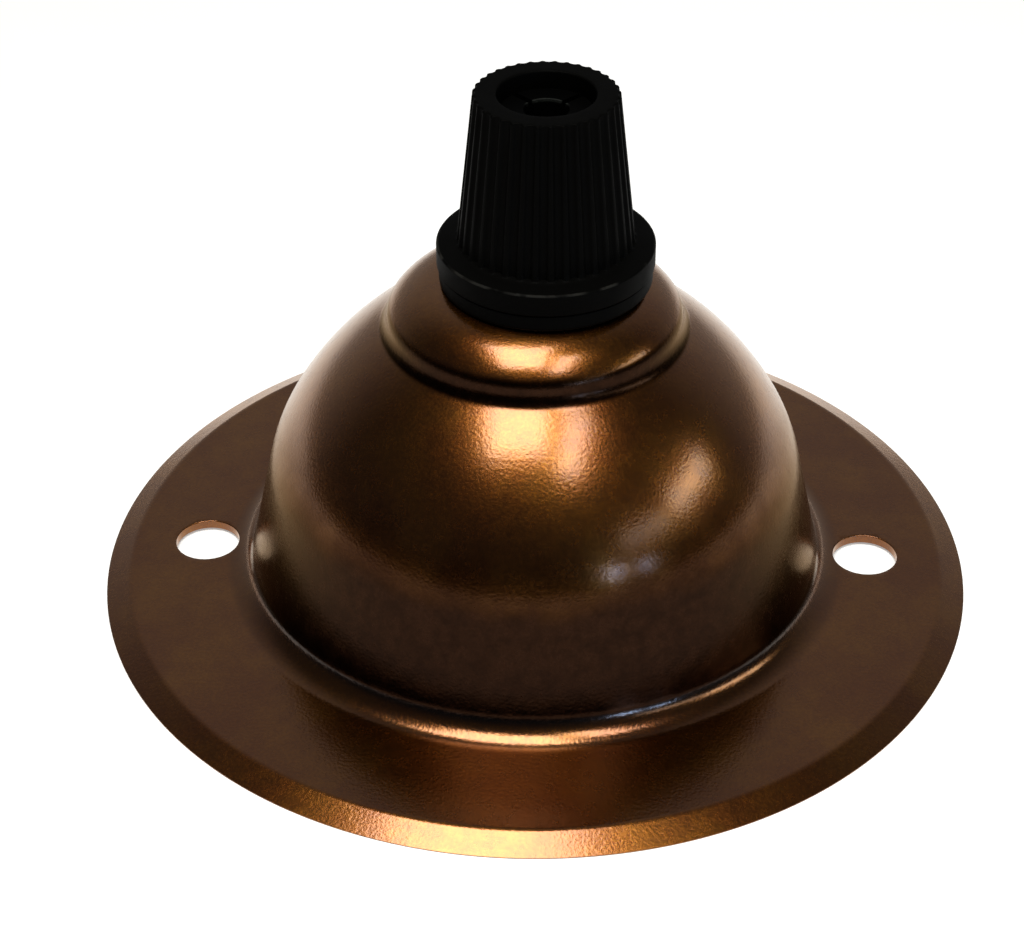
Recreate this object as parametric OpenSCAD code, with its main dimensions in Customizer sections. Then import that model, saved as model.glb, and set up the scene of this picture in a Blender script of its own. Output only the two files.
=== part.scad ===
// Ceiling canopy for a pendant lamp: a pressed brass plate with a domed middle, and a cord grip on its crown.
// The plate is drawn dome up, as it lies on a table. On a ceiling the dome hangs down.
// Origin: centre of the rim, on the face that meets the ceiling. +Z: out of the dome, along the flex.

/* [Plate] */
// Width of the flange, from the dome's foot to the rim
flange_w = 14.1; // [12:0.1:25]
// Thickness of the sheet
sheet_t = 1.0; // [0.7:0.1:1.2]
// Height of the flange's outer face over the ceiling
flange_z = 1.35; // [1.3:0.05:1.8]
// Width of the rim that turns down to the ceiling
bevel_w = 2.8; // [2.4:0.1:4]
// Height of the rim's upright edge
rim_edge = 0.1; // [0.05:0.05:0.4]
// Rounding between the flange and the turned-down rim
bevel_round = 1.4; // [1.3:0.1:3]

/* [Fixing holes] */
// Diameter of a fixing hole
fix_d = 7.4; // [4:0.1:7.6]
// How far a fixing hole reaches into the rounding of the dome's foot
hole_bite = 0.9; // [0:0.1:1.2]

/* [Crown] */
// Height of the crown over the ceiling
crown_z = 38.3; // [37:0.1:40]
// Radius of the crown's flat
crown_flat_r = 9.3; // [9.2:0.1:10.5]
// Radius of the curve that falls away from the flat
crown_arc_r = 8.2; // [7:0.1:10]
// Lean of the crown where that curve turns into its side, in degrees from upright
crown_lean = 38; // [34:1:42]
// Rounding from the curve into the crown's side
shoulder_round = 2.5; // [1.6:0.1:3.2]
// Lean of the crown's side, in degrees from upright
side_lean = 6; // [2:1:10]
// Rounding of the crease between the crown and the dome
crease_round = 2.5; // [1.5:0.1:3]

/* [Dome] */
// Lean of the dome where it starts at the crease, in degrees from upright
dome_lean = 55.3; // [52:0.1:58]
// Radius of the dome's upper curve
dome_top_r = 35.6; // [32:0.1:40]
// Lean of the dome where its upper curve turns into the lower one, in degrees from upright
dome_turn = 29.7; // [26:0.1:34]
// Radius of the dome's lower curve
dome_low_r = 20.6; // [18:0.1:30]
// Taper of the wall below the curves, in degrees from upright
wall_draft = 12.8; // [8:0.1:14]
// Rounding between the wall and the flange
foot_round = 3.3; // [2.5:0.1:4.2]

/* [Cord grip base] */
// How far the grip sits off the middle of the crown's oversize hole
grip_offset = 1.2; // [0:0.1:1.3]
// Diameter of the threaded stem through the crown
stem_d = 10; // [9:0.5:10.5]
// Length of the stem below the crown's outer face
stem_l = 10; // [8:0.5:14]
// Diameter of the way for the flex through the stem
flex_d = 7.2; // [5:0.1:7.4]
// Play of the stem at its tightest side in the crown's hole
stem_play = 0.3; // [0.1:0.05:0.5]
// Radius of the ring that rests on the crown
ring_r = 11.3; // [10:0.1:11.6]
// Height of the ring
ring_h = 1.9; // [1.5:0.1:3]
// Rounding of the ring's lower edge
ring_round = 0.5; // [0.3:0.1:0.8]
// Radius of the threaded spigot inside the cap
spigot_r = 7.2; // [7:0.05:7.4]
// Height of the spigot over the ring
spigot_h = 9.8; // [8:0.1:10.5]
// Radius of the socket in the spigot for the jaws
socket_r = 5.6; // [5.2:0.05:5.9]
// Thickness of the socket's floor, over the crown
socket_floor = 1.8; // [1:0.1:2.4]

/* [Cord grip cap] */
// Height of the cap's top over its lower edge
cap_h = 19.85; // [19.2:0.05:24]
// Radius of the smooth collar
collar_r = 11.82; // [11.4:0.02:13]
// Height of the collar's side
collar_h = 2.5; // [1.5:0.1:3]
// Rise of the collar's top face to the ribbed cone
collar_rise = 0.35; // [0.1:0.05:0.6]
// Radius of the ribbed cone at its foot
cone_foot_r = 9.6; // [9.4:0.1:10.4]
// Radius of the ribbed cone at the top
cone_top_r = 7.75; // [7.4:0.05:8.4]
// Number of flutes between the ribs
flutes = 36; // [24:1:40]
// Depth of a flute
flute_depth = 0.4; // [0.2:0.05:0.5]
// Radius of a flute's round section
flute_r = 0.55; // [0.5:0.05:0.8]
// Radius of the cap's mouth
mouth_r = 5.2; // [5:0.05:5.6]
// Gap between the cap and the base ring, when it is screwed home
parting_gap = 0.15; // [0.1:0.05:0.3]
// Clearance all round between pieces that turn or slide in each other
fit_gap = 0.1; // [0.05:0.05:0.15]

/* [Jaws] */
// Radius of the opening that grips the flex
jaw_bore_r = 2.4; // [2:0.1:3]
// Radius of the way for the flex through the jaws' sleeve
jaw_way_r = 3.0; // [2.6:0.1:3.2]
// Height of the jaws' cone
jaw_cone_h = 8.0; // [7:0.1:8.5]
// Radius of the jaws' cone at its top
jaw_top_r = 4.9; // [4.5:0.1:5]
// Radius of the jaws' cone at its foot
jaw_foot_r = 6.9; // [6.4:0.1:7]
// Length of the opening that grips the flex
jaw_grip_l = 3.3; // [2:0.1:5]
// Width of the slits between the jaws
slit_w = 0.7; // [0.4:0.1:1.2]
// Height of the slits' lower ends over the foot of the cone
slit_rise = 1.0; // [0.6:0.1:2]
// Width of the two keys that stop the jaws from turning
key_w = 2.4; // [1.5:0.1:3]
// Height of the keys' lower ends over the base ring
key_rise = 3.5; // [2:0.1:5]
// Seating gap under the jaws
seat_gap = 0.3; // [0.2:0.05:0.4]

/* [Fixings inside the dome] */
// Outer diameter of the lock washer
washer_d = 16; // [15:0.5:16]
// Thickness of the lock washer
washer_t = 0.6; // [0.4:0.1:1]
// Number of the washer's inner teeth
washer_teeth = 10; // [6:1:12]
// Thickness of the earth tag
tag_t = 0.8; // [0.5:0.1:1]
// Width of the earth tag's blade
tag_w = 6.3; // [4.8:0.1:6.5]
// Distance of the blade from the stem's axis
tag_reach = 10.2; // [9.8:0.1:11]
// Length of the blade below its ring
tag_l = 9; // [7:0.5:12]
// Diameter of the latching hole in the blade
tag_hole_d = 1.6; // [1:0.1:2.4]
// Distance across the flats of the back nut
nut_af = 14; // [13:0.5:15]
// Height of the back nut
nut_h = 3; // [2.5:0.1:4]
// Play between the stem and what is threaded on it
thread_play = 0.05; // [0.05:0.05:0.1]

/* [Hidden] */
$fn = 96;

plate_colour = "#6b4423";
black_plastic = "#1c1c1c";
zinc = "#b9bcc0";
yellow_brass = "#c9a24a";

over = 1;            // how far a cutter runs past the face that it cuts
edge = 0.3;          // small chamfers and roundings on moulded edges

// Centre of the next arc, where two arcs touch at angle a and r changes by step
function touching(c, step, a) = c + step * [cos(a), sin(a)];

// Crown, crease and dome: arcs that touch, each starting where the last one leans as it does
crown_c = [crown_flat_r, crown_z - crown_arc_r];
shoulder_c = touching(crown_c, crown_arc_r - shoulder_round, crown_lean);
crease_c = touching(shoulder_c, shoulder_round + crease_round, side_lean);
dome_c = touching(crease_c, -crease_round - dome_top_r, dome_lean);
low_c = touching(dome_c, dome_top_r - dome_low_r, dome_turn);

// Wall: straight and tapered, from the lower curve down to the fillet onto the flange
wall_top = touching(low_c, dome_low_r, wall_draft);
wall_end_z = flange_z + foot_round * (1 - sin(wall_draft));
wall_end_r = wall_top[0] + (wall_top[1] - wall_end_z) * tan(wall_draft);
foot_c = [wall_end_r + foot_round * cos(wall_draft), flange_z + foot_round];

// Fixing holes: beside the foot, on the flange
fix_spacing = 2 * (foot_c[0] + fix_d / 2 - hole_bite);

// Rim: the flange turns down, and its edge is dressed flat where it meets the ceiling
rim_r = foot_c[0] + flange_w;
bevel_r = rim_r - bevel_w;
bevel_a = atan2(flange_z - rim_edge, rim_r - bevel_r);
bevel_c = [bevel_r - bevel_round * tan(bevel_a / 2), flange_z - bevel_round];
seat_r = rim_r + rim_edge / tan(bevel_a) - sheet_t / sin(bevel_a);

// Cord grip, all measured from the crown
ring_top = crown_z + ring_h;
spigot_top = ring_top + spigot_h;
floor_z = crown_z + socket_floor;
stem_z = crown_z - stem_l;
cap_z = ring_top + parting_gap;
cap_top = cap_z + cap_h;
collar_top = cap_z + collar_h;
cone_z = collar_top + collar_rise;
jaw_z = spigot_top + seat_gap;
jaw_top = jaw_z + jaw_cone_h;
jaw_floor = floor_z + seat_gap;
sleeve_r = socket_r - fit_gap;
cap_bore_r = spigot_r + fit_gap;
key_r = spigot_r - seat_gap;
key_z = ring_top + key_rise;
slot_floor = key_z - seat_gap;

// Pieces threaded on the stem, from the crown's inner face down
entry_d = stem_d + 2 * (grip_offset + stem_play);
hole_d = stem_d + 2 * thread_play;
washer_z = crown_z - sheet_t - washer_t;
tag_z = washer_z - tag_t;
nut_z = tag_z - nut_h;

// Points along an arc about c
function arc(c, r, a0, a1, n) =
    [for (i = [0:n]) c + r * [cos(a0 + (a1 - a0) * i / n), sin(a0 + (a1 - a0) * i / n)]];

function reversed(list) = [for (i = [len(list) - 1:-1:0]) list[i]];

// One face of the sheet, from the axis to the rim, at a depth below the outer face
function plate_face(depth) = concat(
    [[0, crown_z - depth]],
    arc(crown_c, crown_arc_r - depth, 90, crown_lean, 8),
    arc(shoulder_c, shoulder_round - depth, crown_lean, side_lean, 5),
    arc(crease_c, crease_round + depth, 180 + side_lean, 180 + dome_lean, 7),
    arc(dome_c, dome_top_r - depth, dome_lean, dome_turn, 8),
    arc(low_c, dome_low_r - depth, dome_turn, wall_draft, 5),
    arc(foot_c, foot_round + depth, 180 + wall_draft, 270, 8),
    arc(bevel_c, bevel_round - depth, 90, 90 - bevel_a, 3)
);

// Carries children to the grip's own axis
module at_grip() {
    translate([grip_offset, 0, 0]) children();
}

// Pressed plate: flange, dome and crown in one sheet
module ceiling_plate() {
    outline = concat(
        plate_face(0),
        [[rim_r, rim_edge], [rim_r, 0], [seat_r, 0]],
        reversed(plate_face(sheet_t))
    );
    color(plate_colour) difference() {
        rotate_extrude() polygon(outline);
        translate([0, 0, crown_z - sheet_t - over]) cylinder(d = entry_d, h = sheet_t + 2 * over);
        for (side = [-1, 1])
            translate([side * fix_spacing / 2, 0, -over]) cylinder(d = fix_d, h = flange_z + 2 * over);
    }
}

// Base of the grip: stem through the crown, ring on it, and the spigot that the cap screws onto
module grip_base() {
    stem_r = stem_d / 2;
    flex_r = flex_d / 2;
    outline = concat(
        [[flex_r, stem_z], [stem_r - edge, stem_z], [stem_r, stem_z + edge], [stem_r, crown_z]],
        arc([ring_r - ring_round, crown_z + ring_round], ring_round, 270, 360, 4),
        [[ring_r, ring_top], [spigot_r, ring_top], [spigot_r, spigot_top - edge],
         [spigot_r - edge, spigot_top], [socket_r, spigot_top], [socket_r, floor_z], [flex_r, floor_z]]
    );
    slot_w = key_w + 2 * fit_gap;
    color(black_plastic) at_grip() difference() {
        rotate_extrude() polygon(outline);
        translate([-spigot_r - over, -slot_w / 2, slot_floor])
            cube([2 * (spigot_r + over), slot_w, spigot_top - slot_floor + over]);
    }
}

// Split jaws: a sleeve in the socket, two keys in its slots, and a slit cone inside the cap
module grip_jaws() {
    outline = [
        [jaw_way_r, jaw_floor], [sleeve_r, jaw_floor], [sleeve_r, jaw_z], [jaw_foot_r, jaw_z],
        [jaw_top_r, jaw_top], [jaw_bore_r, jaw_top], [jaw_bore_r, jaw_top - jaw_grip_l],
        [jaw_way_r, jaw_top - jaw_grip_l - (jaw_way_r - jaw_bore_r)]
    ];
    slit_z = jaw_z + slit_rise;
    color(black_plastic) at_grip() difference() {
        union() {
            rotate_extrude() polygon(outline);
            for (turn = [0, 180])
                rotate([0, 0, turn]) translate([(jaw_way_r + sleeve_r) / 2, -key_w / 2, key_z])
                    cube([key_r - (jaw_way_r + sleeve_r) / 2, key_w, jaw_z - key_z]);
        }
        for (turn = [45, 135])
            rotate([0, 0, turn]) translate([-jaw_foot_r - over, -slit_w / 2, slit_z])
                cube([2 * (jaw_foot_r + over), slit_w, jaw_top - slit_z + over]);
    }
}

// Round groove down the side of the cap's cone
module flute() {
    out = flute_r - flute_depth;
    rise = cap_top - cone_z;
    lean = atan2(cone_foot_r - cone_top_r, rise);
    translate([cone_foot_r + out, 0, cone_z])
        rotate([0, -lean, 0])
            translate([0, 0, -over]) cylinder(r = flute_r, h = rise / cos(lean) + 2 * over, $fn = 24);
}

// Cap: a fluted cone on a smooth collar, bored for the spigot and coned inside for the jaws
module grip_cap() {
    cone = [[0, collar_top - over], [cone_foot_r, collar_top - over], [cone_foot_r, cone_z],
            [cone_top_r, cap_top - edge], [cone_top_r - edge, cap_top], [0, cap_top]];
    collar = [[0, cap_z], [collar_r - edge, cap_z], [collar_r, cap_z + edge], [collar_r, collar_top],
              [cone_foot_r - flute_depth, cone_z], [0, cone_z]];
    slope = (jaw_foot_r - jaw_top_r) / jaw_cone_h;
    cone_end = jaw_z + (jaw_foot_r + fit_gap - mouth_r) / slope;
    inside = [[0, cap_z - over], [cap_bore_r, cap_z - over], [cap_bore_r, jaw_z],
              [jaw_foot_r + fit_gap, jaw_z], [mouth_r, cone_end], [mouth_r, cap_top - edge],
              [mouth_r + edge + over, cap_top + over], [0, cap_top + over]];
    color(black_plastic) at_grip() difference() {
        union() {
            difference() {
                rotate_extrude() polygon(cone);
                for (i = [0:flutes - 1]) rotate([0, 0, i * 360 / flutes]) flute();
            }
            rotate_extrude() polygon(collar);
        }
        rotate_extrude() polygon(inside);
    }
}

// Lock washer with inner teeth that bite on the stem's side
module lock_washer() {
    outer_r = washer_d / 2;
    root_r = (outer_r + hole_d / 2) / 2;
    color(zinc) at_grip() translate([0, 0, washer_z]) difference() {
        cylinder(r = outer_r, h = washer_t);
        translate([0, 0, -over]) cylinder(d = hole_d, h = washer_t + 2 * over);
        for (i = [0:washer_teeth - 1])
            rotate([0, 0, i * 360 / washer_teeth]) translate([root_r, 0, -over])
                cylinder(r = PI * hole_d / washer_teeth / 4, h = washer_t + 2 * over);
    }
}

// Earth tag: a ring on the stem with a push-on blade that hangs beside the nut
module earth_tag() {
    outer_r = washer_d / 2;
    color(yellow_brass) at_grip() difference() {
        union() {
            translate([0, 0, tag_z]) cylinder(r = outer_r, h = tag_t);
            translate([-tag_reach - tag_t, -tag_w / 2, tag_z]) cube([tag_reach + tag_t, tag_w, tag_t]);
            translate([-tag_reach - tag_t, -tag_w / 2, tag_z - tag_l]) cube([tag_t, tag_w, tag_l + tag_t]);
        }
        translate([0, 0, tag_z - over]) cylinder(d = hole_d, h = tag_t + 2 * over);
        translate([-tag_reach - tag_t - over, 0, tag_z - tag_l + tag_w / 2])
            rotate([0, 90, 0]) cylinder(d = tag_hole_d, h = tag_t + 2 * over);
    }
}

// Six-sided back nut with both ends chamfered
module back_nut() {
    corner_r = nut_af / 2 / cos(30);
    bevel = corner_r - nut_af / 2;
    chamfer = [[0, 0], [nut_af / 2, 0], [corner_r, bevel / 2], [corner_r, nut_h - bevel / 2],
               [nut_af / 2, nut_h], [0, nut_h]];
    color(yellow_brass) at_grip() translate([0, 0, nut_z]) difference() {
        intersection() {
            cylinder(r = corner_r, h = nut_h, $fn = 6);
            rotate_extrude() polygon(chamfer);
        }
        translate([0, 0, -over]) cylinder(d = hole_d, h = nut_h + 2 * over);
    }
}

ceiling_plate();
grip_base();
grip_jaws();
grip_cap();
lock_washer();
earth_tag();
back_nut();
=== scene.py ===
import math

import bmesh
import bpy
from mathutils import Matrix, Vector


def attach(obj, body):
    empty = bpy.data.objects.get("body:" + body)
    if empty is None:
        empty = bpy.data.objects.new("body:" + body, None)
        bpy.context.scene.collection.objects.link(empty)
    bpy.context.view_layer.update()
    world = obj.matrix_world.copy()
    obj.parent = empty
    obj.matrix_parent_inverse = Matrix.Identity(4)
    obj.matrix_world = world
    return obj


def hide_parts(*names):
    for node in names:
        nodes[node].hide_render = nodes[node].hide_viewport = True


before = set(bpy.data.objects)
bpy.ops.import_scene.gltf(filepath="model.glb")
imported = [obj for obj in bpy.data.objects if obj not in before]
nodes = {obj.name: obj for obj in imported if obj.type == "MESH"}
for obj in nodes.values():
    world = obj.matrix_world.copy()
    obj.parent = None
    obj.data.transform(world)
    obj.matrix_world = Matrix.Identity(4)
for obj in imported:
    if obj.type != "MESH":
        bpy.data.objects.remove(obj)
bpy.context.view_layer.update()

MM = 0.001

# Sizes of the solids, in millimetres, as in the part's source
SHEET_T = 1.0
FLANGE_W = 14.1
FLANGE_Z = 1.35
BEVEL_W = 2.8
RIM_EDGE = 0.1
BEVEL_ROUND = 1.4
FIX_D = 7.4
HOLE_BITE = 0.9
CROWN_Z = 38.3
CROWN_FLAT_R = 9.3
CROWN_ARC_R = 8.2
CROWN_LEAN = 38.0
SHOULDER_ROUND = 2.5
SIDE_LEAN = 6.0
CREASE_ROUND = 2.5
DOME_LEAN = 55.3
DOME_TOP_R = 35.6
DOME_TURN = 29.7
DOME_LOW_R = 20.6
WALL_DRAFT = 12.8
FOOT_ROUND = 3.3
CROWN_HOLE_R = 6.5

GRIP_X = 1.2
STEM_R = 5.0
STEM_L = 10.0
FLEX_R = 3.6
RING_R = 11.6
RING_H = 1.9
RING_ROUND = 0.5
SPIGOT_R = 7.2
SPIGOT_H = 9.8
SOCKET_R = 5.6
SOCKET_FLOOR = 1.8
KEY_SLOT_W = 2.6
KEY_RISE = 3.5
SEAT_GAP = 0.3

CAP_H = 19.85
COLLAR_R = 11.82
COLLAR_H = 2.5
COLLAR_RISE = 0.35
CONE_FOOT_R = 9.6
CONE_TOP_R = 7.75
FLUTES = 36
FLUTE_DEPTH = 0.4
FLUTE_R = 0.55
MOUTH_R = 5.2
PARTING_GAP = 0.15
FIT_GAP = 0.1
JAW_CONE_H = 8.0
JAW_TOP_R = 4.9
JAW_FOOT_R = 6.9
EDGE = 0.3

RING_TOP = CROWN_Z + RING_H
SPIGOT_TOP = RING_TOP + SPIGOT_H
STEM_Z = CROWN_Z - STEM_L
CAP_Z = RING_TOP + PARTING_GAP
CAP_TOP = CAP_Z + CAP_H
COLLAR_TOP = CAP_Z + COLLAR_H
CONE_Z = COLLAR_TOP + COLLAR_RISE
JAW_Z = SPIGOT_TOP + SEAT_GAP


# Camera: the photograph's frame is 1024 by 950, and its lens sees the object from 35.5 degrees above
def add_camera():
    turn = math.radians(2.72)
    tilt = math.radians(35.522)
    roll = math.radians(-0.35)
    right = Vector((math.cos(turn), math.sin(turn), 0))
    back = Vector((math.sin(turn) * math.cos(tilt), -math.cos(turn) * math.cos(tilt), math.sin(tilt)))
    up = back.cross(right)
    place = back * 0.274871 - right * 0.0026 + up * 0.009603
    rolled_right = right * math.cos(roll) + up * math.sin(roll)
    rolled_up = up * math.cos(roll) - right * math.sin(roll)
    data = bpy.data.cameras.new("camera")
    data.sensor_width = 36
    data.lens = 81.85
    data.clip_start = 0.01
    data.clip_end = 20
    camera = bpy.data.objects.new("camera", data)
    axes = Matrix((rolled_right, rolled_up, back)).transposed().to_4x4()
    camera.matrix_world = Matrix.Translation(place) @ axes
    bpy.context.scene.collection.objects.link(camera)
    bpy.context.scene.camera = camera


# Outlines: points (radius, height) in millimetres
def arc(cx, cz, radius, start, end, step=6.0):
    count = max(2, math.ceil(abs(end - start) / step))
    angles = [math.radians(start + (end - start) * i / count) for i in range(count + 1)]
    return [(cx + radius * math.cos(a), cz + radius * math.sin(a)) for a in angles]


def spaced(points, step=0.8, brink=0.08):
    """The same outline with points added on its long straight runs, and two close to their ends."""
    out = []
    for (x0, z0), (x1, z1) in zip(points, points[1:] + points[:1]):
        length = math.hypot(x1 - x0, z1 - z0)
        out.append((x0, z0))
        if length < step:
            continue
        count = math.ceil(length / step)
        shares = [brink / length] + [i / count for i in range(1, count)] + [1 - brink / length]
        out += [(x0 + (x1 - x0) * s, z0 + (z1 - z0) * s) for s in shares]
    return out


def touching(centre, step, angle):
    """Centre of the next arc, where two arcs touch at that angle and the radius changes by step."""
    a = math.radians(angle)
    return centre[0] + step * math.cos(a), centre[1] + step * math.sin(a)


crown_c = (CROWN_FLAT_R, CROWN_Z - CROWN_ARC_R)
shoulder_c = touching(crown_c, CROWN_ARC_R - SHOULDER_ROUND, CROWN_LEAN)
crease_c = touching(shoulder_c, SHOULDER_ROUND + CREASE_ROUND, SIDE_LEAN)
dome_c = touching(crease_c, -CREASE_ROUND - DOME_TOP_R, DOME_LEAN)
low_c = touching(dome_c, DOME_TOP_R - DOME_LOW_R, DOME_TURN)
wall_x, wall_z = touching(low_c, DOME_LOW_R, WALL_DRAFT)
draft = math.radians(WALL_DRAFT)
wall_end_z = FLANGE_Z + FOOT_ROUND * (1 - math.sin(draft))
foot_x = wall_x + (wall_z - wall_end_z) * math.tan(draft) + FOOT_ROUND * math.cos(draft)
hole_x = foot_x + FIX_D / 2 - HOLE_BITE
rim_r = foot_x + FLANGE_W
bevel_r = rim_r - BEVEL_W
bevel_a = math.degrees(math.atan2(FLANGE_Z - RIM_EDGE, BEVEL_W))
bevel_x = bevel_r - BEVEL_ROUND * math.tan(math.radians(bevel_a / 2))
seat_r = rim_r + RIM_EDGE / math.tan(math.radians(bevel_a)) - SHEET_T / math.sin(math.radians(bevel_a))


def plate_face(depth, step):
    """One face of the sheet, from the crown's hole to the rim, at a depth below the outer face."""
    points = [(CROWN_HOLE_R, CROWN_Z - depth)]
    points += arc(*crown_c, CROWN_ARC_R - depth, 90, CROWN_LEAN, step / 2)
    points += arc(*shoulder_c, SHOULDER_ROUND - depth, CROWN_LEAN, SIDE_LEAN, step)
    points += arc(*crease_c, CREASE_ROUND + depth, 180 + SIDE_LEAN, 180 + DOME_LEAN, step)[1:]
    points += arc(*dome_c, DOME_TOP_R - depth, DOME_LEAN, DOME_TURN, step / 4)[1:]
    points += arc(*low_c, DOME_LOW_R - depth, DOME_TURN, WALL_DRAFT, step / 3)[1:]
    points += arc(foot_x, FLANGE_Z + FOOT_ROUND, FOOT_ROUND + depth, 180 + WALL_DRAFT, 270, step)
    points += arc(bevel_x, FLANGE_Z - BEVEL_ROUND, BEVEL_ROUND - depth, 90, 90 - bevel_a, step)
    return points


# Meshes
def new_piece(name, verts, faces):
    mesh = bpy.data.meshes.new(name)
    mesh.from_pydata(verts, [], faces)
    shape = bmesh.new()
    shape.from_mesh(mesh)
    bmesh.ops.recalc_face_normals(shape, faces=shape.faces)
    shape.to_mesh(mesh)
    shape.free()
    piece = bpy.data.objects.new(name, mesh)
    bpy.context.scene.collection.objects.link(piece)
    return piece


def lathe(name, outline, segments, x=0.0, radius_at=None):
    """A closed outline turned about the upright axis at x. radius_at(r, z, angle) may shape the radius."""
    rings = []
    verts = []
    for r, z in outline:
        if r < 1e-6:
            rings.append([len(verts)] * segments)
            verts.append((x * MM, 0, z * MM))
            continue
        rings.append(list(range(len(verts), len(verts) + segments)))
        for j in range(segments):
            angle = 2 * math.pi * j / segments
            radius = radius_at(r, z, angle) if radius_at else r
            verts.append(((x + radius * math.cos(angle)) * MM, radius * math.sin(angle) * MM, z * MM))
    faces = []
    for a, b in zip(rings, rings[1:] + rings[:1]):
        for j in range(segments):
            k = (j + 1) % segments
            face = list(dict.fromkeys((a[j], b[j], b[k], a[k])))
            if len(face) > 2:
                faces.append(face)
    return new_piece(name, verts, faces)


def box_piece(name, low, high):
    corners = [(x * MM, y * MM, z * MM) for x in (low[0], high[0]) for y in (low[1], high[1]) for z in (low[2], high[2])]
    faces = [(0, 1, 3, 2), (4, 6, 7, 5), (0, 4, 5, 1), (2, 3, 7, 6), (0, 2, 6, 4), (1, 5, 7, 3)]
    return new_piece(name, corners, faces)


def cut(piece, cutters):
    """Takes the cutters out of the piece and removes them."""
    for cutter in cutters:
        step = piece.modifiers.new("cut", "BOOLEAN")
        step.operation = "DIFFERENCE"
        step.solver = "EXACT"
        step.object = cutter
    bpy.context.view_layer.update()
    done = piece.evaluated_get(bpy.context.evaluated_depsgraph_get())
    mesh = bpy.data.meshes.new_from_object(done)
    piece.modifiers.clear()
    piece.data = mesh
    for cutter in cutters:
        bpy.data.objects.remove(cutter)


def smooth(piece, angle=32):
    piece.data.shade_smooth()
    piece.data.set_sharp_from_angle(angle=math.radians(angle))


def make_plate():
    outer = plate_face(0, 5)
    inner = plate_face(SHEET_T, 9)
    outline = outer + [(rim_r, RIM_EDGE), (rim_r, 0), (seat_r, 0)] + inner[::-1]
    plate = lathe("canopy_plate", spaced(outline), 240)
    lip = 0.12
    cutters = []
    for side in (-1, 1):
        bore = [(0, -1), (FIX_D / 2, -1)]
        bore += arc(FIX_D / 2 + lip, FLANGE_Z - lip + 0.01, lip, 180, 90, 15)
        bore += [(FIX_D / 2 + lip, FLANGE_Z + 1), (0, FLANGE_Z + 1)]
        cutters.append(lathe("cutter", bore, 96, side * hole_x))
    cut(plate, cutters)
    smooth(plate)
    return plate


def thread_depth(z, angle, low, high, pitch, depth):
    """Depth of a right-hand screw thread's groove, which runs out at both ends."""
    if z <= low or z >= high:
        return 0.0
    turn = (z / pitch - angle / (2 * math.pi)) % 1.0
    groove = min(1.0, max(0.0, 1.25 - 2.5 * abs(turn - 0.5) * 1.15))
    run_out = min(1.0, (z - low) / (0.6 * pitch), (high - z) / (0.6 * pitch))
    return depth * groove * run_out


def make_base():
    stem_low = STEM_Z + 0.4
    stem_high = CROWN_Z - 0.6
    spigot_low = RING_TOP + 0.9
    spigot_high = SPIGOT_TOP - 0.4

    def radius_at(r, z, angle):
        if abs(r - STEM_R) < 1e-6:
            return r - thread_depth(z, angle, stem_low, stem_high, 1.0, 0.5)
        if abs(r - SPIGOT_R) < 1e-6:
            return r - thread_depth(z, angle, spigot_low, spigot_high, 1.5, 0.65)
        return r

    def wall(r, low, high, step):
        count = math.ceil((high - low) / step)
        return [(r, low + (high - low) * i / count) for i in range(count + 1)]

    outline = [(FLEX_R, STEM_Z + 0.2), (FLEX_R + 0.2, STEM_Z), (STEM_R - EDGE, STEM_Z)]
    outline += wall(STEM_R, STEM_Z + EDGE, CROWN_Z, 0.1)
    outline += arc(RING_R - RING_ROUND, CROWN_Z + RING_ROUND, RING_ROUND, 270, 360, 9)
    outline += arc(RING_R - 0.12, RING_TOP - 0.12, 0.12, 0, 90, 30)
    outline += wall(SPIGOT_R, RING_TOP, SPIGOT_TOP - EDGE, 0.15)
    outline += [(SPIGOT_R - EDGE, SPIGOT_TOP), (SOCKET_R + 0.1, SPIGOT_TOP), (SOCKET_R, SPIGOT_TOP - 0.1)]
    outline += [(SOCKET_R, CROWN_Z + SOCKET_FLOOR), (FLEX_R, CROWN_Z + SOCKET_FLOOR)]
    base = lathe("grip_base_ring", outline, 120, GRIP_X, radius_at)
    half = KEY_SLOT_W / 2
    reach = SPIGOT_R + 1
    slot = box_piece("cutter", (GRIP_X - reach, -half, RING_TOP + KEY_RISE - SEAT_GAP),
                     (GRIP_X + reach, half, SPIGOT_TOP + 1))
    cut(base, [slot])
    smooth(base, 40)
    return base


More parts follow.
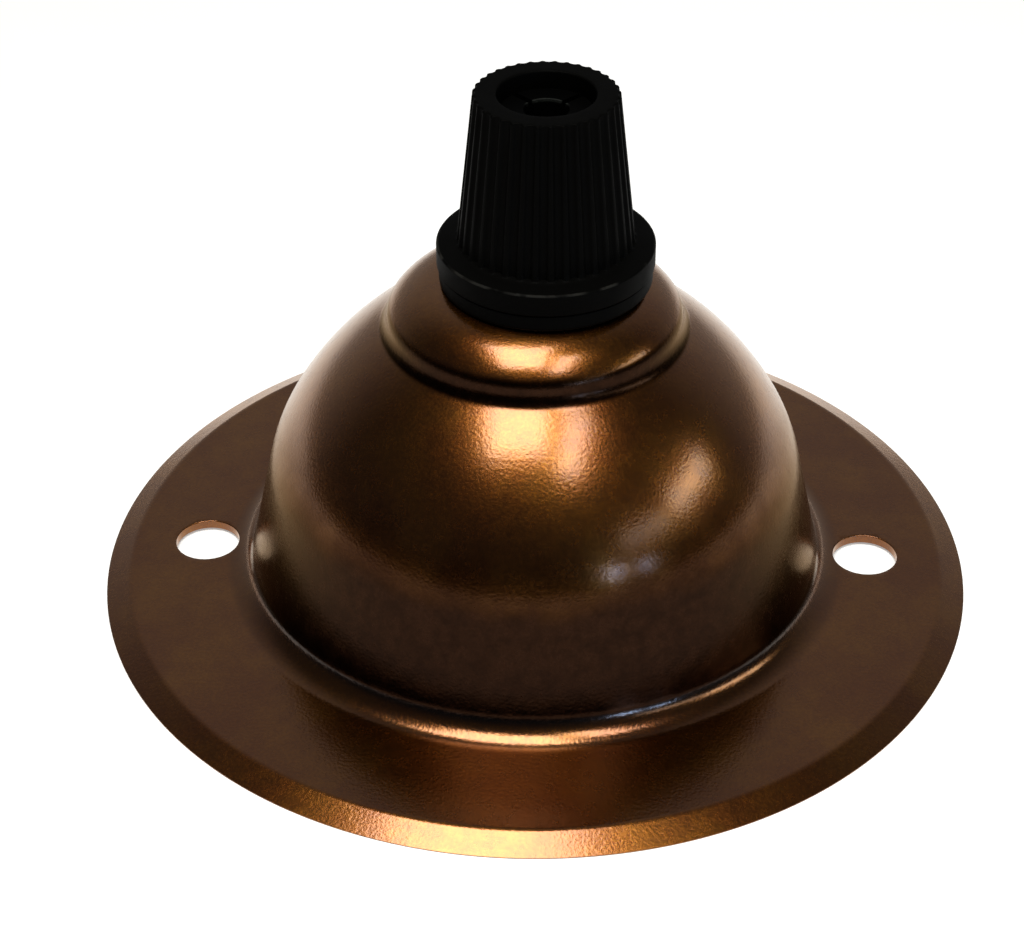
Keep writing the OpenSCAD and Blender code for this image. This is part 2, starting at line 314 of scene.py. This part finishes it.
def make_cap():
    pitch = 2 * math.pi / FLUTES
    groove_out = FLUTE_R - FLUTE_DEPTH

    def groove(radius, angle):
        """Depth of a flute at an angle round a surface of that radius, with softened ribs."""
        away = abs((angle + pitch / 2) % pitch - pitch / 2) * radius
        half = math.sqrt(FLUTE_R ** 2 - groove_out ** 2)
        if away >= half + 0.06:
            return 0.0
        if away <= half - 0.1:
            return math.sqrt(FLUTE_R ** 2 - away ** 2) - groove_out
        inner = math.sqrt(FLUTE_R ** 2 - (half - 0.1) ** 2) - groove_out
        share = (half + 0.06 - away) / 0.16
        return inner * share ** 1.6

    lean = (CONE_FOOT_R - CONE_TOP_R) / (CAP_TOP - EDGE - CONE_Z)

    def cone_r(z):
        return CONE_FOOT_R - (z - CONE_Z) * lean

    def radius_at(r, z, angle):
        if z > COLLAR_TOP - 0.01 and r > MOUTH_R + 1.6:
            full = cone_r(min(z, CAP_TOP - EDGE))
            if r > full + 0.01:
                return r
            fade = 1 - 0.45 * max(0.0, 1 - (CAP_TOP - z) / 0.6)
            return r - fade * groove(full, angle)
        return r

    top_round = 0.26
    outline = arc(COLLAR_R - 0.2, CAP_Z + 0.2, 0.2, 270, 360, 22)
    outline += arc(COLLAR_R - 0.22, COLLAR_TOP - 0.22, 0.22, 0, 84, 14)
    outline += [(10.8, COLLAR_TOP + 0.16), (10.2, COLLAR_TOP + 0.25), (9.85, COLLAR_TOP + 0.3), (9.68, CONE_Z + 0.02)]
    count = 24
    outline += [(cone_r(CONE_Z + 0.12 + (CAP_TOP - CONE_Z - 0.12 - top_round) * i / count),
                 CONE_Z + 0.12 + (CAP_TOP - CONE_Z - 0.12 - top_round) * i / count) for i in range(count + 1)]
    outline += arc(CONE_TOP_R - top_round, CAP_TOP - top_round, top_round, 12, 90, 13)
    outline += [(7.0, CAP_TOP), (6.6, CAP_TOP), (6.0, CAP_TOP)]
    outline += arc(MOUTH_R + 0.25, CAP_TOP - 0.25, 0.25, 90, 180, 18)
    slope = (JAW_FOOT_R - JAW_TOP_R) / JAW_CONE_H
    cone_end = JAW_Z + (JAW_FOOT_R + FIT_GAP - MOUTH_R) / slope
    outline += [(MOUTH_R, cone_end), (JAW_FOOT_R + FIT_GAP, JAW_Z), (SPIGOT_R + FIT_GAP, JAW_Z),
                (SPIGOT_R + FIT_GAP, CAP_Z + 0.15), (SPIGOT_R + FIT_GAP + 0.15, CAP_Z)]
    cap = lathe("grip_cap_fluted", outline, FLUTES * 16, GRIP_X, radius_at)
    smooth(cap, 50)
    return cap


# Materials
class Nodes:
    """Short names for adding nodes to a material."""

    def __init__(self, name):
        self.material = bpy.data.materials.new(name)
        self.material.use_nodes = True
        self.tree = self.material.node_tree
        self.shader = self.tree.nodes["Principled BSDF"]
        self.coords = self.add("ShaderNodeTexCoord").outputs["Object"]

    def add(self, kind, **values):
        node = self.tree.nodes.new(kind)
        for key, value in values.items():
            setattr(node, key, value)
        return node

    def link(self, source, target):
        self.tree.links.new(source, target)

    def noise(self, size_mm, detail=3.0, roughness=0.55, coords=None):
        node = self.add("ShaderNodeTexNoise")
        node.inputs["Scale"].default_value = 1 / (size_mm * MM)
        node.inputs["Detail"].default_value = detail
        node.inputs["Roughness"].default_value = roughness
        self.link(coords or self.coords, node.inputs["Vector"])
        return node.outputs["Fac"]

    def math(self, operation, a, b=None, clamp=False):
        node = self.add("ShaderNodeMath", operation=operation, use_clamp=clamp)
        for slot, value in zip(node.inputs, (a, b)):
            if value is None:
                continue
            if isinstance(value, (int, float)):
                slot.default_value = value
            else:
                self.link(value, slot)
        return node.outputs[0]

    def span(self, value, low, high, out_low=0.0, out_high=1.0, smooth_step=True):
        node = self.add("ShaderNodeMapRange")
        node.interpolation_type = "SMOOTHSTEP" if smooth_step else "LINEAR"
        self.link(value, node.inputs["Value"])
        for key, number in (("From Min", low), ("From Max", high), ("To Min", out_low), ("To Max", out_high)):
            node.inputs[key].default_value = number
        return node.outputs["Result"]

    def mix(self, share, a, b):
        node = self.add("ShaderNodeMix", data_type="RGBA")
        slots = [s for s in node.inputs if s.enabled]
        if isinstance(share, (int, float)):
            slots[0].default_value = share
        else:
            self.link(share, slots[0])
        for slot, value in zip(slots[1:], (a, b)):
            if isinstance(value, tuple):
                slot.default_value = value + (1.0,)
            else:
                self.link(value, slot)
        return [s for s in node.outputs if s.enabled][0]

    def product(self, a, b):
        node = self.add("ShaderNodeMix", data_type="RGBA", blend_type="MULTIPLY")
        slots = [s for s in node.inputs if s.enabled]
        slots[0].default_value = 1.0
        self.link(a, slots[1])
        self.link(b, slots[2])
        return [s for s in node.outputs if s.enabled][0]

    def bump(self, height, distance_mm, strength=1.0):
        node = self.add("ShaderNodeBump")
        node.inputs["Strength"].default_value = strength
        node.inputs["Distance"].default_value = distance_mm * MM
        self.link(height, node.inputs["Height"])
        self.link(node.outputs["Normal"], self.shader.inputs["Normal"])
        self.link(node.outputs["Normal"], self.shader.inputs["Coat Normal"])


def plate_material():
    """Brass, antiqued dark brown under a satin lacquer: darkest and matt on the dome's lower wall, with painted shade
    in the crease under the crown and in the recess round the dome's foot.
    """
    m = Nodes("antiqued_brass")
    parts = m.add("ShaderNodeSeparateXYZ")
    m.link(m.coords, parts.inputs[0])
    x, y, z = parts.outputs
    radius = m.math("SQRT", m.math("ADD", m.math("MULTIPLY", x, x), m.math("MULTIPLY", y, y)))
    cloud = m.noise(9, 4, 0.6)
    mottle = m.noise(1.6, 4, 0.6)
    grain = m.noise(0.35, 2, 0.5)
    # Darker and matt on the dome's lower wall, more so towards its foot; the crease under the crown is darkened as
    # painted shade
    edge = m.math("ADD", z, m.span(cloud, 0.3, 0.7, -0.0008, 0.0008))
    wall = m.math("MULTIPLY", m.span(edge, 0.0255, 0.0140), m.span(radius, 0.0334, 0.0329))
    # painted shade: the shoulder's low side and the crease under the crown are darkened
    low_side = m.math("MULTIPLY", m.span(z, 0.0321, 0.0325), m.span(radius, 0.0154, 0.0160))
    crease = m.math("MULTIPLY", low_side, m.span(z, 0.0356, 0.0346))
    darker_wall_and_crease = m.math("ADD", wall, crease, clamp=True)
    # Lacquer lies smooth and thick in the recess round the dome's foot, and the brown there is darkened a little as
    # painted shade
    recess = m.math("MULTIPLY", m.span(radius, 0.0322, 0.0326), m.span(radius, 0.0362, 0.0352))
    brown = m.mix(m.span(cloud, 0.3, 0.7), (0.166, 0.047, 0.0030), (0.222, 0.078, 0.0052))
    brown = m.mix(m.span(mottle, 0.35, 0.75, 0.0, 0.35), brown, (0.124, 0.031, 0.0032))
    dark = m.mix(m.span(mottle, 0.3, 0.7), (0.014, 0.0053, 0.0022), (0.023, 0.0088, 0.0038))
    flecks = m.mix(m.span(grain, 0.35, 0.7), (0.91, 0.89, 0.86), (1.09, 1.11, 1.14))
    # painted shade: the brown darkened in the recess round the dome's foot
    brown = m.mix(m.math("MULTIPLY", recess, 0.2), brown, dark)
    m.link(m.product(m.mix(darker_wall_and_crease, brown, dark), flecks), m.shader.inputs["Base Color"])
    rough = m.math("ADD", m.span(mottle, 0.3, 0.7, 0.235, 0.275), m.span(grain, 0.3, 0.7, -0.008, 0.012))
    m.link(m.math("SUBTRACT", rough, m.math("MULTIPLY", recess, 0.06)), m.shader.inputs["Roughness"])
    matt = m.math("MULTIPLY", darker_wall_and_crease, m.span(z, 0.0030, 0.0036))
    m.link(m.span(matt, 0.0, 1.0, 0.9, 0.05), m.shader.inputs["Coat Weight"])
    m.shader.inputs["Metallic"].default_value = 1.0
    m.shader.inputs["Specular Tint"].default_value = (1.0, 0.8, 0.62, 1)
    m.shader.inputs["Coat Roughness"].default_value = 0.16
    m.shader.inputs["Coat IOR"].default_value = 1.5
    m.bump(grain, 0.020, 0.8)
    return m.material


def plastic_material():
    """Black moulded plastic with a fine grain, with a patchy painted highlight along the collar's upper edge."""
    m = Nodes("black_plastic")
    grain = m.noise(0.16, 3, 0.7)
    cloud = m.noise(3, 3, 0.5)
    parts = m.add("ShaderNodeSeparateXYZ")
    m.link(m.coords, parts.inputs[0])
    x = m.math("SUBTRACT", parts.outputs[0], GRIP_X * MM)
    y, z = parts.outputs[1:]
    radius = m.math("SQRT", m.math("ADD", m.math("MULTIPLY", x, x), m.math("MULTIPLY", y, y)))
    # painted highlight: lighter along the collar's upper edge, broken up by a cloud noise
    collar = m.math("MULTIPLY", m.span(z, (COLLAR_TOP - 0.2) * MM, (COLLAR_TOP - 0.12) * MM),
                    m.span(radius, (COLLAR_R - 0.3) * MM, (COLLAR_R - 0.2) * MM))
    painted_collar_highlight = m.math("MULTIPLY", collar, m.span(cloud, 0.42, 0.6))
    black = m.mix(grain, (0.0007, 0.0007, 0.0006), (0.0015, 0.0014, 0.0012))
    m.link(m.mix(painted_collar_highlight, black, (0.014, 0.0135, 0.012)), m.shader.inputs["Base Color"])
    m.link(m.math("ADD", m.span(grain, 0.3, 0.7, 0.5, 0.6), m.span(cloud, 0.3, 0.7, -0.03, 0.03)),
           m.shader.inputs["Roughness"])
    m.shader.inputs["Specular IOR Level"].default_value = 0.02
    m.bump(grain, 0.012, 0.5)
    return m.material


def jaw_material():
    """The jaws' harder plastic, matt, in a darker black as painted shade deep in the cap's mouth, with a painted
    glint on the far side of the opening's rim.
    """
    m = Nodes("jaw_plastic")
    parts = m.add("ShaderNodeSeparateXYZ")
    m.link(m.coords, parts.inputs[0])
    x = m.math("SUBTRACT", parts.outputs[0], GRIP_X * MM)
    y = parts.outputs[1]
    radius = m.math("SQRT", m.math("ADD", m.math("MULTIPLY", x, x), m.math("MULTIPLY", y, y)))
    # painted glint: lighter and glossier on the far side of the opening's rim
    rim = m.math("MULTIPLY", m.span(radius, 0.00268, 0.00256), m.span(parts.outputs[2], 0.0579, 0.0582))
    rim = m.math("MULTIPLY", rim, m.span(y, 0.0008, 0.0019))
    grain = m.noise(0.2, 2, 0.5)
    # painted shade: a darker black than the cap's, for the shade deep in the mouth
    black = m.mix(grain, (0.0003, 0.0003, 0.0003), (0.0006, 0.0006, 0.0005))
    m.link(m.mix(m.math("MULTIPLY", rim, grain), black, (0.03, 0.033, 0.03)), m.shader.inputs["Base Color"])
    m.link(m.span(rim, 0.0, 1.0, 0.55, 0.3), m.shader.inputs["Roughness"])
    m.shader.inputs["Specular IOR Level"].default_value = 0.02
    return m.material


def metal_material(name, low, high, roughness):
    m = Nodes(name)
    cloud = m.noise(2.5, 3, 0.6)
    grain = m.noise(0.15, 2, 0.5)
    m.link(m.mix(cloud, low, high), m.shader.inputs["Base Color"])
    m.link(m.span(cloud, 0.3, 0.7, roughness - 0.05, roughness + 0.06), m.shader.inputs["Roughness"])
    m.shader.inputs["Metallic"].default_value = 1.0
    m.bump(grain, 0.004, 0.4)
    return m.material


def dress(piece, material):
    piece.data.materials.clear()
    piece.data.materials.append(material)


# Stage and light
def add_floor():
    mesh = bpy.data.meshes.new("floor")
    half = 3.0
    mesh.from_pydata([(-half, -half, 0), (half, -half, 0), (half, half, 0), (-half, half, 0)], [], [(0, 1, 2, 3)])
    floor = bpy.data.objects.new("floor", mesh)
    floor.location.z = -0.00002
    bpy.context.scene.collection.objects.link(floor)
    m = Nodes("floor")
    m.shader.inputs["Base Color"].default_value = (0.86, 0.86, 0.86, 1)
    m.shader.inputs["Roughness"].default_value = 0.9
    m.shader.inputs["Specular IOR Level"].default_value = 0.0
    # White to the eye and in reflections, with the object's shadow kept
    path = m.add("ShaderNodeLightPath")
    seen = m.math("ADD", path.outputs["Is Camera Ray"], path.outputs["Is Glossy Ray"])
    seen = m.math("ADD", seen, path.outputs["Is Transmission Ray"], clamp=True)
    m.shader.inputs["Emission Color"].default_value = (1, 1, 1, 1)
    m.link(m.math("MULTIPLY", seen, 0.32), m.shader.inputs["Emission Strength"])
    dress(floor, m.material)


def add_lamp(name, place, aim, width, height, radiance, colour=(1, 1, 1)):
    """A rectangular soft light of the given radiance, facing its aim."""
    data = bpy.data.lights.new(name, "AREA")
    data.shape = "RECTANGLE"
    data.size = width
    data.size_y = height
    data.energy = radiance * math.pi * width * height
    data.color = colour
    lamp = bpy.data.objects.new(name, data)
    lamp.location = place
    lamp.rotation_euler = (Vector(aim) - Vector(place)).to_track_quat("-Z", "Y").to_euler()
    bpy.context.scene.collection.objects.link(lamp)


def toward(elevation, azimuth, distance):
    """A point that far from the dome. Azimuth 0 is in front of the object and 90 at its right."""
    e = math.radians(elevation)
    a = math.radians(azimuth)
    return Vector((math.cos(e) * math.sin(a), -math.cos(e) * math.cos(a), math.sin(e))) * distance + Vector((0, 0, 0.02))


def add_lights():
    aim = (0, 0, 0.02)
    add_lamp("key", (-0.072, -0.165, 0.62), (-0.072, -0.165, 0), 0.28, 0.38, 10.8, (1.0, 0.98, 0.92))
    add_lamp("key_right", (0.19, -0.29, 0.62), (0.19, -0.29, 0), 0.12, 0.32, 9.8, (1.0, 0.98, 0.92))
    add_lamp("side_window", toward(24, 80, 0.8), aim, 0.34, 0.1, 5.2, (0.94, 1.02, 0.92))
    add_lamp("side_window_far", toward(22.5, 52, 0.8), aim, 0.3, 0.07, 2.4, (0.94, 1.02, 0.95))
    add_lamp("low_window_a", toward(9.3, 34, 0.8), aim, 0.08, 0.09, 17.0, (0.55, 0.85, 1.35))
    add_lamp("low_window_b", toward(8.3, 46.5, 0.8), aim, 0.07, 0.08, 12.0, (0.55, 0.85, 1.35))
    world = bpy.data.worlds.new("world")
    bpy.context.scene.world = world
    world.use_nodes = True
    tree = world.node_tree
    coords = tree.nodes.new("ShaderNodeTexCoord")
    parts = tree.nodes.new("ShaderNodeSeparateXYZ")
    tree.links.new(coords.outputs["Generated"], parts.inputs[0])
    ramp = tree.nodes.new("ShaderNodeMapRange")
    ramp.interpolation_type = "SMOOTHSTEP"
    ramp.inputs["From Min"].default_value = 0.1
    ramp.inputs["From Max"].default_value = 0.88
    ramp.inputs["To Min"].default_value = 0.045
    ramp.inputs["To Max"].default_value = 0.32
    tree.links.new(parts.outputs[1], ramp.inputs["Value"])
    background = tree.nodes["Background"]
    background.inputs["Color"].default_value = (0.95, 0.97, 1.0, 1)
    tree.links.new(ramp.outputs["Result"], background.inputs["Strength"])


add_camera()
bpy.context.scene.view_settings.view_transform = "Standard"

plate = make_plate()
base = make_base()
cap = make_cap()

brass = plate_material()
plastic = plastic_material()
for piece, node, body, slot, material in (
        (plate, "ceiling_plate", "canopy", "antiqued_brass", brass),
        (base, "grip_base", "canopy", "black_plastic", plastic),
        (cap, "grip_cap", "cap", "black_plastic", plastic)):
    dress(piece, material)
    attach(piece, body)
    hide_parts(node)

dress(nodes["grip_jaws"], jaw_material())
rounding = nodes["grip_jaws"].modifiers.new("rounding", "BEVEL")
rounding.width = 0.18 * MM
rounding.segments = 2
rounding.limit_method = "ANGLE"
rounding.angle_limit = math.radians(50)
dress(nodes["lock_washer"], metal_material("zinc_steel", (0.55, 0.56, 0.57), (0.66, 0.67, 0.68), 0.3))
yellow = metal_material("plain_brass", (0.66, 0.48, 0.2), (0.78, 0.6, 0.29), 0.27)
dress(nodes["earth_tag"], yellow)
dress(nodes["back_nut"], yellow)

add_floor()
add_lights()
